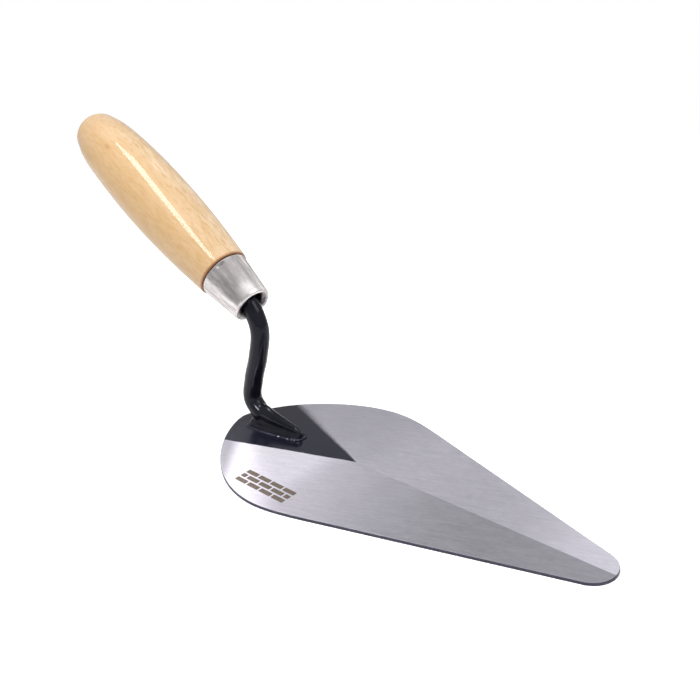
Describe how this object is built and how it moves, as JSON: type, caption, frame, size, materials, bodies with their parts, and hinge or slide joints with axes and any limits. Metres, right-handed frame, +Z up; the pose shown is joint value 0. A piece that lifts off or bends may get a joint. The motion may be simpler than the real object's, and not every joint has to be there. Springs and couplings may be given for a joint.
{
  "type": "brick trowel",
  "caption": "Brick trowel: a flat ground-steel teardrop blade, a welded black goose-neck shank and a turned wooden handle with a steel ferrule.",
  "frame": {"origin": "on the flat underside of the blade, on its centreline, where the blade is widest", "axes": "+X towards the blade's tip, +Y across the blade, +Z up, away from the face that rests on the mortar"},
  "size_m": [0.2696, 0.0868, 0.1305],
  "materials": {
    "blade_steel": "ground steel with fine brush marks, glossy black lacquer on the unground triangle at the heel",
    "shank_lacquer": "glossy black lacquer over forged steel",
    "weld_lacquer": "glossy black lacquer over a weld bead",
    "ferrule_steel": "satin nickel-plated steel with drawing marks along its length",
    "handle_wood": "turned light hardwood under clear gloss varnish"
  },
  "bodies": {
    "root": {"blade": "blade_steel", "shank": "shank_lacquer", "foot_weld": "weld_lacquer", "ferrule": "ferrule_steel", "handle": "handle_wood"}
  },
  "joints": []
}
